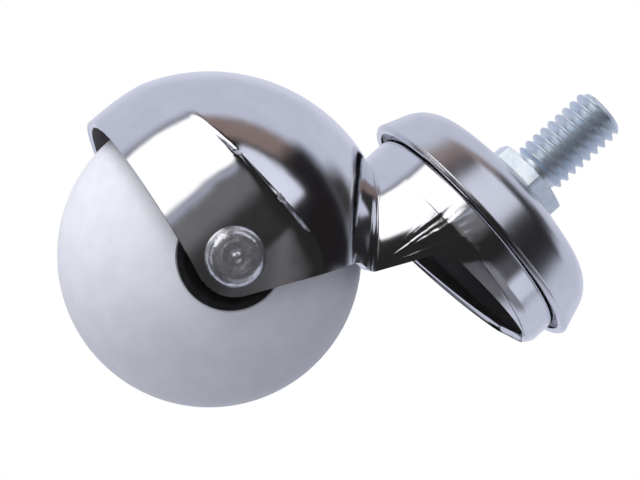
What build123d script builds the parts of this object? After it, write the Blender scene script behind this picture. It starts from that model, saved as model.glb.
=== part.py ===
"""Hooded ball castor with a threaded stem, in millimetres.

The origin is the centre of the hexagon's top face, +Z runs up the stem, Y runs along the axle,
and the wheel trails towards -X.
"""
import os
from math import cos, radians, sin, sqrt, tan

from build123d import *

os.makedirs("parts", exist_ok=True)

# Wheel
wheel_radius = 21.0
ball_flattening = 2.0           # the ball's half width is this much less than its radius
trail_past_ball = 0.8           # the swivel axis stands this far past the ball
ball_below_cap = 8.5            # from the cap's rim down to the top of the ball
hub_radius = 7.2
hub_recess_radius = 6.3
hub_recess_depth = 0.9
boss_radius = 4.6

# Axle
rivet_radius = 2.5
rivet_head_radius = 4.15
rivet_head_height = 1.7
rivet_ring_radius = 2.57        # crest of the ring spun into the near head
rivet_ring_height = 1.43
rivet_ring_step = 0.2
rivet_rim_height = 0.51
rivet_nipple_radius = 0.66
sleeve_wall = 0.9
ear_round = 5.3                 # radius of the ear's end about the axle

# Threaded stud, one turned piece
stem_radius = 3.97
thread_length = 13.7
stem_chamfer = 0.7
hexagon_across_flats = 11.1
hexagon_height = 2.35
hexagon_chamfer = 0.35
hexagon_turn = 2.0              # degrees from a corner facing -Y
swage_radius = 5.2
swage_height = 0.9
king_pin_radius = 3.9
king_pin_tail_radius = 2.9
king_pin_head_radius = 4.3
king_pin_head_height = 1.5

# Cap over the swivel head
cup_sheet = 0.9
cup_rim_gap = 1.2               # from the drum out to the inside of the rim
cup_height = 9.65
cup_flat_radius = 6.3
cup_flank_lean = 20.0           # degrees from upright
cup_crown_slope = 13.4          # degrees from level
cup_corner_radius = 5.6
cup_lip_height = 0.6
cup_lip_tuck = 0.3
cup_lip_round = 0.4
cup_flat_round = 3.0            # where the crown runs into its flat middle

# Pressed horn
horn_sheet = 1.0
drum_radius = 17.2
drum_corner_radius = 3.0
skirt_above_neck = 0.915        # from the neck's top up to the end of the drum's straight wall
hood_gap = 3.3                  # between the ball and the hood
ear_play = 0.3                  # between the hub's boss and each ear
boss_overhang = 1.3             # how far the boss stands out past the ball's half width
neck_angle = 41.4               # degrees, rise of the line from the axle towards the drum
neck_hold = 5.3                 # from the neck out to the top of the dome, along that line
neck_radius = 13.0
shoulder_length = 5.0
shoulder_shares = (0, 0.35, 0.65, 0.87, 1)
neck_fillet = 0.8               # outside the sheet, in the waist of the neck
crease_share = 0.4              # how far the waist moves in, as a share of the inset
ear_flat = 3.4                  # the wall is flat from this far in front of the axle, back to the neck
hood_front_gap = 0.3            # from the upright wall's front to the dome
crease_rise = 8.3               # top of the upright wall above the axle
step_lean = 50.0                # degrees from upright, the step between the wall and the dome
step_reach = 6.0                # how far out the step would run without the dome
front_edge_slope = 11.3         # degrees, the hood's lower edge in front of the ear
rear_edge_slope = 64.0          # degrees, the edge behind the ear
toe_rise = 15.0                 # neck toe above the start of the rear edge
toe_length = 3.0
toe_climb = 1.05                # rise of the toe's short edge
waist_run = 4.3                 # toe to the waist of the lower edge, level
waist_climb = 9.3               # toe to the waist of the lower edge, upright
skirt_overhang = 0.7            # drum below its skirt line, on the side away from the wheel
trim_rounds = [2.0, 1.5, 4.0, 2.0]

# Swivel bearing
upper_ball_radius = 1.75
upper_ball_circle = 10.6
upper_ball_count = 12
lower_ball_radius = 1.5
lower_ball_circle = 7.4
lower_ball_count = 10
lower_race_sheet = 1.1
lower_race_radius = 9.6
lower_race_rim = 0.9            # thickness and rise of the turned-up rim
race_depth = 0.35
pin_play = 0.8                  # around the king pin in the drum plate

# Clearances
rolling_gap = 0.08              # between a ball and each race
running_gap = 0.06              # between the sleeve and the hub's bore
groove_gap = 0.15               # groove radius over ball radius

# Places worked out from the sizes above
ball_half_width = wheel_radius - ball_flattening
trail = wheel_radius + trail_past_ball
axle_drop = hexagon_height + cup_height + ball_below_cap + wheel_radius
wheel_centre = (-trail, 0, -axle_drop)
axle_line = Axis(wheel_centre, (0, 1, 0))
hub_face = ball_half_width * sqrt(1 - (hub_radius / wheel_radius) ** 2)
boss_face = ball_half_width + boss_overhang
ear_inner = boss_face + ear_play
ear_outer = ear_inner + horn_sheet
sleeve_radius = rivet_radius + sleeve_wall
hood_radius = wheel_radius + hood_gap + horn_sheet
hood_front = hood_radius - hood_front_gap
neck_distance = hood_radius - neck_hold

cup_rim_radius = drum_radius + cup_rim_gap + cup_sheet
cup_top = -hexagon_height
cup_rim = cup_top - cup_height
cup_ceiling = cup_top - cup_sheet


def cup_rise(radius):
    """Height lost by the cap's sloping crown at a radius, from its flat middle."""
    return (radius - cup_flat_radius) * tan(radians(cup_crown_slope))


upper_race_top = cup_ceiling - cup_rise(upper_ball_circle)
upper_ball_z = upper_race_top - (rolling_gap + upper_ball_radius) / cos(radians(cup_crown_slope))
drum_top = upper_ball_z - upper_ball_radius - rolling_gap + race_depth
drum_ceiling = drum_top - horn_sheet
lower_ball_z = drum_ceiling + race_depth - rolling_gap - lower_ball_radius
lower_race_top = lower_ball_z - lower_ball_radius - rolling_gap + race_depth
lower_race_base = lower_race_top - lower_race_sheet

neck_rise = radians(neck_angle)
neck_along = Vector(cos(neck_rise), 0, sin(neck_rise))
neck_across = Vector(sin(neck_rise), 0, -cos(neck_rise))
neck_reach = sqrt(hood_radius ** 2 - neck_distance ** 2)
neck_top = neck_distance * sin(neck_rise) + neck_reach * cos(neck_rise) - axle_drop
drum_skirt = neck_top + skirt_above_neck


def finish(piece, name):
    """Label a sub-part and write it to its own file."""
    piece.label = name
    export_step(piece, f"parts/{name}.step")


# Ball: an ellipse turned about the axle, with a bore for the hub
with BuildPart() as wheel_tread:
    with BuildSketch(Plane.XY.offset(-axle_drop)):
        with Locations((-trail, 0)):
            Ellipse(wheel_radius, ball_half_width)
        with Locations((-trail - wheel_radius, 0)):
            Rectangle(2 * wheel_radius, 2 * wheel_radius, mode=Mode.SUBTRACT)
        with Locations((-trail, 0)):
            Rectangle(2 * hub_radius, 2 * wheel_radius, mode=Mode.SUBTRACT)
    revolve(axis=axle_line)
finish(wheel_tread.part, "wheel_tread")

# Hub core: half its section is drawn beside the axle, with the shallow cone in its end face
with BuildPart() as hub_core:
    with BuildSketch(Plane.XY.offset(-axle_drop)):
        with BuildLine():
            bore = sleeve_radius + running_gap
            Polyline(
                (-trail + bore, 0),
                (-trail + bore, boss_face),
                (-trail + boss_radius, boss_face),
                (-trail + boss_radius, hub_face - hub_recess_depth),
                (-trail + hub_recess_radius, hub_face),
                (-trail + hub_radius, hub_face),
                (-trail + hub_radius, 0),
                close=True,
            )
        make_face()
        mirror(about=Plane.XZ)
    revolve(axis=axle_line)
finish(hub_core.part, "hub_core")

# Sleeve: a tube held between the ears by the rivet
with BuildPart() as axle_sleeve:
    with BuildSketch(Plane.XZ.offset(-ear_inner)):
        with Locations((-trail, -axle_drop)):
            Circle(sleeve_radius)
            Circle(rivet_radius, mode=Mode.SUBTRACT)
    extrude(amount=2 * ear_inner)
finish(axle_sleeve.part, "axle_sleeve")

# Rivet: shank, plain dome on the far side, spun head with a ring and a nipple on the near side
with BuildPart() as axle_rivet:
    with BuildSketch(Plane.XY.offset(-axle_drop)):
        with BuildLine():
            near_rim = -ear_outer - rivet_rim_height
            ring_face = -ear_outer - rivet_ring_height
            ring_foot = ring_face + rivet_ring_step
            near_tip = -ear_outer - rivet_head_height
            far_tip = ear_outer + rivet_head_height
            Polyline(
                (-trail, near_tip),
                (-trail + rivet_nipple_radius, near_tip),
                (-trail + 2 * rivet_nipple_radius, ring_foot),
                (-trail + rivet_ring_radius - rivet_ring_step, ring_foot),
                (-trail + rivet_ring_radius, ring_face),
            )
            TangentArc(
                (-trail + rivet_head_radius, near_rim),
                (-trail + rivet_ring_radius, ring_face),
                tangent=(0, -1),
            )
            Polyline(
                (-trail + rivet_head_radius, near_rim),
                (-trail + rivet_head_radius, -ear_outer),
                (-trail + rivet_radius, -ear_outer),
                (-trail + rivet_radius, ear_outer),
                (-trail + rivet_head_radius, ear_outer),
            )
            TangentArc(
                (-trail, far_tip),
                (-trail + rivet_head_radius, ear_outer),
                tangent=(1, 0),
            )
            Line((-trail, far_tip), (-trail, near_tip))
        make_face()
    revolve(axis=axle_line)
finish(axle_rivet.part, "axle_rivet")

# Stud: thread shank, hexagon, swage that clamps the cap, king pin and its riveted end
tail_top = lower_race_top
tail_end = lower_race_base - king_pin_head_height
with BuildPart() as threaded_stud:
    with BuildSketch(Plane.XZ):
        with BuildLine():
            Polyline(
                (0, thread_length),
                (stem_radius - stem_chamfer, thread_length),
                (stem_radius, thread_length - stem_chamfer),
                (stem_radius, cup_top),
                (king_pin_radius, cup_top),
                (king_pin_radius, cup_ceiling),
                (swage_radius, cup_ceiling),
                (king_pin_radius, cup_ceiling - swage_height),
                (king_pin_radius, tail_top),
                (king_pin_tail_radius, tail_top),
                (king_pin_tail_radius, lower_race_base),
                (king_pin_head_radius, lower_race_base),
                (king_pin_tail_radius, tail_end),
                (0, tail_end),
                close=True,
            )
        make_face()
    revolve(axis=Axis.Z)
    with BuildSketch(Plane.XY.offset(cup_top)):
        RegularPolygon(
            hexagon_across_flats / 2,
            6,
            major_radius=False,
            rotation=-90 - hexagon_turn,
        )
    extrude(amount=hexagon_height)
    with BuildSketch(Plane.XZ) as hexagon_dish:
        flat = hexagon_across_flats / 2
        corner = flat / cos(radians(30))
        with BuildLine():
            Polyline(
                (flat, 0),
                (corner, -hexagon_chamfer),
                (corner, 0),
                close=True,
            )
        make_face()
    revolve(axis=Axis.Z, mode=Mode.SUBTRACT)
finish(threaded_stud.part, "threaded_stud")


def cup_body(inset):
    """Solid inside the cap's surface, moved in by inset: leaning flank, round corner, sloping crown."""
    flank = radians(cup_flank_lean)
    crown = radians(cup_crown_slope)
    lip_z = cup_rim + cup_lip_height
    top = cup_top - inset
    crown_edge = cup_flat_radius - inset * tan(crown / 2)
    lip_radius = cup_rim_radius - inset / cos(flank)
    # corner where the flank line and the crown line cross
    rise = top - lip_z - (lip_radius - crown_edge) * tan(crown)
    corner_rise = rise / (1 - tan(flank) * tan(crown))
    corner_radius = lip_radius - corner_rise * tan(flank)
    with BuildPart() as body:
        with BuildSketch(Plane.XZ):
            with BuildLine():
                outline = FilletPolyline(
                    (cup_rim_radius - inset - cup_lip_tuck, cup_rim),
                    (lip_radius, lip_z),
                    (corner_radius, lip_z + corner_rise),
                    (crown_edge, top),
                    (0, top),
                    radius=[cup_lip_round, cup_corner_radius - inset, cup_flat_round],
                )
                Polyline(outline @ 1, (0, cup_rim), outline @ 0)
            make_face()
        revolve(axis=Axis.Z)
    return body.part


cup_outside = cup_body(0)
cup_inside = cup_body(cup_sheet)

# Cap: a pressed dome with a hole for the stud
with BuildPart() as cup_cover:
    add(cup_outside)
    add(cup_inside, mode=Mode.SUBTRACT)
    with BuildSketch(Plane.XY.offset(cup_ceiling)):
        Circle(king_pin_radius)
    extrude(amount=cup_sheet, mode=Mode.SUBTRACT)
finish(cup_cover.part, "cup_cover")


def neck_plane(distance, shift):
    """Plane across the neck line, at a distance from the axle, its origin moved up by shift."""
    centre = Vector(*wheel_centre) + neck_along * distance - neck_across * shift
    return Plane(origin=centre, x_dir=neck_across, z_dir=neck_along)


def wall_outline(height, spread):
    """Plan of the upright wall at a height, moved out by spread: half an ellipse in front, straight sides behind."""
    half_width = ear_outer + spread
    front_reach = hood_front - ear_flat + spread
    with BuildSketch(Plane.XY.offset(height)) as plan:
        with BuildLine():
            EllipticalCenterArc(
                (-trail - ear_flat, 0),
                front_reach,
                half_width,
                start_angle=90,
                arc_size=180,
            )
            Polyline(
                (-trail - ear_flat, -half_width),
                (hood_radius, -half_width),
                (hood_radius, half_width),
                (-trail - ear_flat, half_width),
            )
        make_face()
    return plan.sketch


def edges_on(body, plane):
    """The body's edges that lie in a plane."""
    def lies_flat(edge):
        return all(abs(plane.to_local_coords(edge @ share).Z) < 0.01 for share in (0, 0.3, 0.7))
    return body.edges().filter_by(lies_flat)


def hood_wall(inset):
    """Room inside the hood's upright wall, with flat ears and a round front, flaring above its crease."""
    lean = radians(step_lean)
    crease_z = crease_rise - axle_drop + inset * (1 - cos(lean)) / sin(lean)
    flare_z = crease_z + step_reach / tan(lean)
    crease_plan = wall_outline(crease_z, -inset)
    flare_plan = wall_outline(flare_z, step_reach - inset)
    with BuildPart() as room:
        add(crease_plan)
        extrude(amount=-2 * hood_radius)
        loft([crease_plan, flare_plan])
        add(flare_plan)
        extrude(amount=hood_radius)
    return room.part


def horn_mass(inset):
    """The horn as a filled body, with every surface moved in by inset."""
    sphere = hood_radius - inset
    shoulder_start = neck_distance - shoulder_length
    neck_end = neck_distance - crease_share * inset
    neck_drop = sqrt(sphere ** 2 - neck_end ** 2) - (neck_radius - inset)
    wall = hood_wall(inset)
    with BuildPart() as mass:
        with Locations(wheel_centre):
            Sphere(sphere)
        # below its crease the dome gives way to the upright wall
        add(wall, mode=Mode.INTERSECT)
        split(bisect_by=neck_plane(shoulder_start, 0), keep=Keep.BOTTOM)
        # the shoulder keeps to the hood's crown while its sides fall in towards the neck
        for share in shoulder_shares:
            distance = shoulder_start + share * (neck_end - shoulder_start)
            fall = neck_drop * share ** 3
            with BuildSketch(neck_plane(distance, fall)):
                Circle(sqrt(sphere ** 2 - distance ** 2) - fall)
        loft()
        with BuildSketch(neck_plane(neck_end, neck_drop)):
            Circle(neck_radius - inset)
        with BuildSketch(Plane.XY.offset(drum_skirt)):
            Circle(drum_radius - inset)
        loft()
        with BuildSketch(Plane.XY.offset(drum_skirt)):
            Circle(drum_radius - inset)
        extrude(amount=drum_top - inset - drum_skirt)
        fillet(mass.edges().sort_by(Axis.Z)[-1], drum_corner_radius - inset)
        fillet(edges_on(mass, neck_plane(neck_end, 0)), neck_fillet + inset)
    return mass.part


horn_outside = horn_mass(0)
horn_inside = horn_mass(horn_sheet)

# Horn: the sheet between the two bodies, trimmed along its lower edge
front = radians(front_edge_slope)
rear = radians(rear_edge_slope)
front_touch = (-trail - ear_round * sin(front), -axle_drop - ear_round * cos(front))
rear_touch = (-trail + ear_round * sin(rear), -axle_drop - ear_round * cos(rear))
reach = 2 * hood_radius
skirt_edge = drum_skirt - skirt_overhang
with BuildPart() as horn:
    add(horn_outside)
    add(horn_inside, mode=Mode.SUBTRACT)
    with BuildSketch(Plane.XZ.offset(-hood_radius)):
        with BuildLine():
            front_end = (front_touch[0] - reach * cos(front), front_touch[1] + reach * sin(front))
            toe = (rear_touch[0] + toe_rise / tan(rear), rear_touch[1] + toe_rise)
            toe_tip = (toe[0] + toe_length, toe[1] + toe_climb)
            waist = (toe_tip[0] + waist_run, toe_tip[1] + waist_climb)
            Line(front_end, front_touch)
            RadiusArc(front_touch, rear_touch, -ear_round)
            skirt_line = FilletPolyline(
                rear_touch,
                toe,
                toe_tip,
                waist,
                (drum_radius, skirt_edge),
                (2 * drum_radius, skirt_edge),
                radius=trim_rounds,
            )
            Polyline(
                skirt_line @ 1,
                (2 * drum_radius, -axle_drop - reach),
                (front_end[0], -axle_drop - reach),
                front_end,
            )
        make_face()
    extrude(amount=2 * hood_radius, mode=Mode.SUBTRACT)
    with BuildSketch(Plane.XZ.offset(-hood_radius)):
        with Locations((-trail, -axle_drop)):
            Circle(rivet_radius)
    extrude(amount=2 * hood_radius, mode=Mode.SUBTRACT)
    with BuildSketch(Plane.XY.offset(drum_ceiling)):
        Circle(king_pin_radius + pin_play)
    extrude(amount=horn_sheet, mode=Mode.SUBTRACT)
    with BuildSketch(Plane.XZ):
        with Locations((upper_ball_circle, drum_top - race_depth + upper_ball_radius + groove_gap)):
            Circle(upper_ball_radius + groove_gap)
        with Locations((lower_ball_circle, drum_ceiling + race_depth - lower_ball_radius - groove_gap)):
            Circle(lower_ball_radius + groove_gap)
    revolve(axis=Axis.Z, mode=Mode.SUBTRACT)
finish(horn.part, "horn")

# Lower race: a washer with a groove for the balls and a turned-up rim
with BuildPart() as lower_race:
    with BuildSketch(Plane.XZ):
        with BuildLine():
            Polyline(
                (king_pin_tail_radius, lower_race_top),
                (lower_race_radius - lower_race_rim, lower_race_top),
                (lower_race_radius - lower_race_rim, lower_race_top + lower_race_rim),
                (lower_race_radius, lower_race_top + lower_race_rim),
                (lower_race_radius, lower_race_base + 0.5 * lower_race_sheet),
                (lower_race_radius - 0.5 * lower_race_sheet, lower_race_base),
                (king_pin_tail_radius, lower_race_base),
                close=True,
            )
        make_face()
        with Locations((lower_ball_circle, lower_race_top - race_depth + lower_ball_radius + groove_gap)):
            Circle(lower_ball_radius + groove_gap, mode=Mode.SUBTRACT)
    revolve(axis=Axis.Z)
finish(lower_race.part, "lower_race")


def ball_row(count, circle, radius, height, name):
    """A ring of separate balls, each in its own file."""
    for number, place in enumerate(PolarLocations(circle, count), start=1):
        with BuildPart(Plane(place.position + Vector(0, 0, height))) as ball:
            Sphere(radius)
        finish(ball.part, f"{name}_{number:02d}")


ball_row(upper_ball_count, upper_ball_circle, upper_ball_radius, upper_ball_z, "upper_ball")
ball_row(lower_ball_count, lower_ball_circle, lower_ball_radius, lower_ball_z, "lower_ball")
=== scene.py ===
# %% [markdown]
# # A hooded ball castor, dressed in Blender
# The castor is a white ball that turns under a pressed chrome hood. The hood's neck carries a swivel
# drum, a cap covers the drum, and a threaded stem stands on the cap. The packed CAD model gives every
# size and place. This lesson works out finer surfaces with numpy around it, and gives each piece its
# finish.

# %% Load the packed model
from math import acos, asin, cos, pi, radians, sin, sqrt, tan

import bmesh
import bpy
import numpy as np
from mathutils import Matrix, Vector


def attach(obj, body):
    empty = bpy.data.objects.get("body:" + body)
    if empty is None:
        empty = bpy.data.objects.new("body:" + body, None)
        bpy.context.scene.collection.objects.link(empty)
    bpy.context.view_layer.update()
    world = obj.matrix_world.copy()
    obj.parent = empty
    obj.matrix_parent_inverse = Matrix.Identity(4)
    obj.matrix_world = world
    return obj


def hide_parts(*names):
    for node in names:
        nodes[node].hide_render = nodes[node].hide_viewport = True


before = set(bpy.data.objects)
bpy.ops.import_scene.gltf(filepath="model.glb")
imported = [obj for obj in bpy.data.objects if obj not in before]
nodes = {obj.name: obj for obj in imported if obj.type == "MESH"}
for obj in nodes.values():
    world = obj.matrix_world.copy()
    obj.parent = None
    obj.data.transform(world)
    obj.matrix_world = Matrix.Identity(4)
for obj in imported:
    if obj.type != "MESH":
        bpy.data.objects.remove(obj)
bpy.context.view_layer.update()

# %% [markdown]
# ## Sizes
# All lengths are in millimetres and match the CAD part. The origin is the middle of the hexagon's top
# face, +Z runs up the stem, Y runs along the axle and the wheel trails towards -X. Meshes are scaled to
# metres when they are made.

# %% Sizes of the castor
MM = 0.001
BALL_RADIUS, BALL_HALF_WIDTH = 21.0, 19.0
TRAIL, AXLE_DROP = 21.8, 41.5
HUB_RADIUS, HUB_RECESS, HUB_RECESS_DEPTH = 7.2, 6.3, 0.9
BOSS_RADIUS, BOSS_FACE = 4.6, 20.3
EAR_INNER, EAR_OUTER = 20.6, 21.6
RIVET_RADIUS, SLEEVE_RADIUS, SLEEVE_PLAY = 2.5, 3.4, 0.06
HUB_FACE = BALL_HALF_WIDTH * sqrt(1 - (HUB_RADIUS / BALL_RADIUS) ** 2)
AXLE = np.array([-TRAIL, 0.0, -AXLE_DROP])
FLOOR_Z = -AXLE_DROP - BALL_RADIUS
print("floor at", FLOOR_Z, "mm; hub face at", round(HUB_FACE, 2), "mm")

# %% [markdown]
# ## The camera
# The photograph was taken with a long lens from a little below the axle, with the castor tipped over, so
# the picture's upright leans 48 degrees from the stem. The camera's place and its three directions were
# worked out from the ball, the cap's rim and the stem.

# %% Camera
CAMERA_PLACE = Vector((-0.07839, -0.49805, -0.09613))
PICTURE_RIGHT = Vector((0.648481, -0.185220, 0.738354)).normalized()
PICTURE_UP = Vector((-0.750258, 0.008588, 0.661090)).normalized()
PICTURE_BACK = PICTURE_RIGHT.cross(PICTURE_UP).normalized()
PICTURE_UP = PICTURE_BACK.cross(PICTURE_RIGHT)
SENSOR, LENS = 36.0, 205.63

camera_data = bpy.data.cameras.new("camera")
camera_data.sensor_width = SENSOR
camera_data.lens = LENS
camera_data.clip_start, camera_data.clip_end = 0.01, 20
camera = bpy.data.objects.new("camera", camera_data)
turn = Matrix((PICTURE_RIGHT, PICTURE_UP, PICTURE_BACK)).transposed().to_4x4()
camera.matrix_world = Matrix.Translation(CAMERA_PLACE) @ turn
bpy.context.scene.collection.objects.link(camera)
bpy.context.scene.camera = camera
bpy.context.scene.view_settings.view_transform = "Standard"
print("camera stands", round((CAMERA_PLACE - Vector(AXLE * MM)).length, 3), "m from the axle")

# %% [markdown]
# ## From a grid of points to a closed mesh
# Every new piece is a grid: rows of points, as many points in each row. Neighbouring rows are joined by
# quads. Points that coincide at seams and poles are merged afterwards, and the outside is found again,
# so that each piece is one closed skin. Edges sharper than a given angle stay crisp. A modifier could
# close the seams too, but then the finished mesh would only exist after it ran.

# %% Grid to mesh
def grid_faces(rows, columns, first=0):
    """Quads between neighbouring rows: corner (i, j) is vertex first + i * columns + j."""
    i, j = np.meshgrid(np.arange(rows - 1), np.arange(columns - 1), indexing="ij")
    corner = first + (i * columns + j).ravel()
    return np.stack([corner, corner + 1, corner + columns + 1, corner + columns], axis=1)


def make_piece(name, grids, crease=35.0, merge=2e-7, inside=()):
    """One object from several grids of points in millimetres, each of shape (rows, columns, 3). The
    grids whose numbers are named as inside are marked in the attribute "inside"."""
    points, faces, marks, first = [], [], [], 0
    for number, grid in enumerate(grids):
        rows, columns = grid.shape[:2]
        points.append(grid.reshape(-1, 3) * MM)
        faces.append(grid_faces(rows, columns, first))
        marks.append(np.full(rows * columns, float(number in inside)))
        first += rows * columns
    mesh = bpy.data.meshes.new(name)
    mesh.from_pydata(np.concatenate(points), [], np.concatenate(faces))
    if inside:
        mesh.attributes.new("inside", "FLOAT", "POINT").data.foreach_set("value", np.concatenate(marks))
    work = bmesh.new()
    work.from_mesh(mesh)
    bmesh.ops.remove_doubles(work, verts=work.verts, dist=merge)
    bmesh.ops.dissolve_degenerate(work, edges=work.edges, dist=merge)
    bmesh.ops.recalc_face_normals(work, faces=work.faces)
    work.to_mesh(mesh)
    open_edges = sum(1 for edge in work.edges if len(edge.link_faces) != 2)
    work.free()
    mesh.shade_smooth()
    mesh.set_sharp_from_angle(angle=radians(crease))
    piece = bpy.data.objects.new(name, mesh)
    bpy.context.scene.collection.objects.link(piece)
    print(name, "faces:", len(mesh.polygons), "open edges:", open_edges)
    return piece


print("a grid of 3 by 4 points has", len(grid_faces(3, 4)), "quads")

# %% [markdown]
# ## Turned shapes
# A cap, a rivet, a ball or a hub is a profile turned about an axis. The profile is a polyline whose
# corners are rounded: each corner is replaced by an arc that touches both of its straight runs.

# %% Rounded profiles
def round_corners(corners, radii, steps=10):
    """Polyline with an arc at each inner corner. With half the angle between both runs, the arc touches
    them at radius / tan(half) from the corner, and its centre lies at radius / sin(half). Its points
    are a straight walk between both tangent points, pushed out onto the circle."""
    corners = np.asarray(corners, float)
    line = [corners[:1]]
    for before, corner, after, radius in zip(corners, corners[1:], corners[2:], radii):
        back = (before - corner) / np.linalg.norm(before - corner)
        ahead = (after - corner) / np.linalg.norm(after - corner)
        half = acos(np.clip(back @ ahead, -1, 1)) / 2
        if radius <= 0 or half < 1e-3:
            line.append(corner[None])
            continue
        centre = corner + (back + ahead) / np.linalg.norm(back + ahead) * radius / sin(half)
        start = corner + back * radius / tan(half) - centre
        end = corner + ahead * radius / tan(half) - centre
        share = np.linspace(0, 1, steps + 1)[:, None]
        arc = (1 - share) * start + share * end
        line.append(centre + arc / np.linalg.norm(arc, axis=1)[:, None] * radius)
    line.append(corners[-1:])
    return np.concatenate(line)


print("a rounded right angle has", len(round_corners([(0, 0), (1, 0), (1, 1)], [0.3])), "points")

# %% [markdown]
# ## Turning a profile
# Long straight runs are split first, so that the quads stay small and close to square. Then every
# point of the profile goes round the axis.

# %% Turning
def refine(profile, longest=0.6):
    """The same polyline with no segment longer than the given length."""
    runs = [profile[:1]]
    for start, end in zip(profile, profile[1:]):
        pieces = max(1, int(np.ceil(np.linalg.norm(end - start) / longest)))
        runs.append(start + (end - start) * (np.arange(1, pieces + 1) / pieces)[:, None])
    return np.concatenate(runs)


def turned(profile, columns=128, axis="Z", centre=(0.0, 0.0, 0.0)):
    """Profile of (distance from the axis, height) turned about the axis: x = d cos a, y = d sin a, z = h.
    About Y the height runs along Y instead."""
    angle = np.linspace(0, 2 * pi, columns + 1)
    angle[-1] = 0
    away, height = profile[:, :1], profile[:, 1:] + 0 * angle
    across, along = away * np.cos(angle), away * np.sin(angle)
    parts = (across, along, height) if axis == "Z" else (across, height, along)
    return np.stack(parts, axis=-1) + np.asarray(centre)


print("a run of 2 mm in steps of 0.6 mm has", len(refine(np.array([(0.0, 0.0), (2.0, 0.0)]))), "points")

# %% [markdown]
# ## The ball and its hub
# The ball is moulded white plastic, a little narrower than it is tall. A dark hub is pressed into it, and
# its end faces have a shallow cone around the boss that meets the ear. Both are turned shapes, so the
# ball's bore edge can carry the small round that catches the light.

# %% Ball and hub
def ball_profile(edge=0.25, steps=72):
    """Half an ellipse, d = R sqrt(1 - (y / B)^2), between both bore edges, then the straight bore."""
    lean = np.linspace(-1, 1, steps + 1) * asin(HUB_FACE / BALL_HALF_WIDTH)
    arc = np.stack([BALL_RADIUS * np.cos(lean), BALL_HALF_WIDTH * np.sin(lean)], axis=1)
    bore = np.array([[HUB_RADIUS, HUB_FACE - edge], [HUB_RADIUS, -HUB_FACE + edge]])
    arc[0], arc[-1] = (HUB_RADIUS + edge, -HUB_FACE + edge / 4), (HUB_RADIUS + edge, HUB_FACE - edge / 4)
    return np.concatenate([arc, refine(bore, 2.0), arc[:1]])


def hub_profile(bore=SLEEVE_RADIUS + SLEEVE_PLAY, bevel=0.2):
    """Bore, boss, recess cone and rim, mirrored about the middle plane and closed."""
    half = [(bore, BOSS_FACE), (BOSS_RADIUS, BOSS_FACE), (BOSS_RADIUS, HUB_FACE - HUB_RECESS_DEPTH),
            (HUB_RECESS, HUB_FACE), (HUB_RADIUS, HUB_FACE)]
    corners = np.array(half + [(d, -y) for d, y in reversed(half)] + [half[0]])
    radii = [bevel, bevel, bevel, bevel / 2, bevel / 2, bevel, bevel, bevel, 0]
    return refine(round_corners(corners, radii, 4), 1.5)


ball = make_piece("ball_tread", [turned(ball_profile(), 180, "Y", AXLE)])
hub = make_piece("hub_core_moulded", [turned(hub_profile(), 120, "Y", AXLE)])

# %% [markdown]
# ## The axle rivet
# A steel rivet holds the ears. Its near head was spun over, which leaves a raised rim, a low ring and a
# nipple in the middle. The far head is the plain factory dome.

# %% Rivet
HEAD_RADIUS, HEAD_RISE = 4.15, 1.7


def rivet_profile():
    """From the near nipple over the ring and the domed shoulder, along the shank, to the far dome, a
    quarter of an ellipse: d = radius cos a, y = rise sin a."""
    near = np.array([(0, -HEAD_RISE), (0.35, -HEAD_RISE + 0.03), (0.75, -1.50), (1.15, -1.44), (1.65, -1.50),
                     (2.05, -1.52), (2.35, -1.46), (2.6, -1.45), (2.9, -1.43), (3.25, -1.31),
                     (3.65, -1.02), (3.95, -0.60), (HEAD_RADIUS, -0.1)])
    near[:, 1] -= EAR_OUTER
    crown = round_corners(near, [0.3, 0.5] + [0.8] * 5 + [1.2, 1.5, 1.8, 1.6], 5)
    shank = np.array([(HEAD_RADIUS, -EAR_OUTER), (RIVET_RADIUS, -EAR_OUTER),
                      (RIVET_RADIUS, EAR_OUTER), (HEAD_RADIUS, EAR_OUTER)])
    lean = np.linspace(0, pi / 2, 14)
    far = np.stack([HEAD_RADIUS * np.cos(lean), EAR_OUTER + HEAD_RISE * np.sin(lean)], axis=1)
    return np.concatenate([crown, refine(shank, 2.0), far])


rivet = make_piece("axle_rivet_spun", [turned(rivet_profile(), 96, "Y", AXLE)], crease=50)

# %% [markdown]
# ## The cap
# The cap is a pressed dome: a flat middle under the hexagon, a gently sloping crown, a wide rounded
# corner and a leaning flank that ends in a lip tucked inwards. The profile goes over the outside, round
# the lip and back up inside, one sheet away.

# %% Cap
CAP_TOP, CAP_SHEET, CAP_HOLE, CAP_FLAT = -2.35, 0.9, 3.9, 6.3
CAP_RIM_RADIUS, CAP_RIM_Z, CAP_LIP_Z = 19.3, -12.0, -11.4
CAP_FLANK, CAP_CROWN = radians(20.0), radians(13.4)
CROWN_BEND, CORNER_BEND, LIP_BEND, LIP_TUCK, LIP_ROUND = 3.0, 5.6, 0.4, 0.3, 0.12


def cap_skin(inset):
    """Flat middle, crown line, flank line and lip of the cap, each moved in by inset. The crown's corner
    is where the flank, climbing from the lip, meets the crown, falling from the flat middle."""
    top = CAP_TOP - inset
    crown_edge = CAP_FLAT - inset * tan(CAP_CROWN / 2)
    lip_radius = CAP_RIM_RADIUS - inset / cos(CAP_FLANK)
    rise = top - CAP_LIP_Z - (lip_radius - crown_edge) * tan(CAP_CROWN)
    climb = rise / (1 - tan(CAP_FLANK) * tan(CAP_CROWN))
    corners = [(CAP_HOLE, top), (crown_edge, top), (lip_radius - climb * tan(CAP_FLANK), CAP_LIP_Z + climb),
               (lip_radius, CAP_LIP_Z), (CAP_RIM_RADIUS - inset - LIP_TUCK, CAP_RIM_Z)]
    return round_corners(corners, [CROWN_BEND, CORNER_BEND - inset, LIP_BEND], 24)


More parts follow.
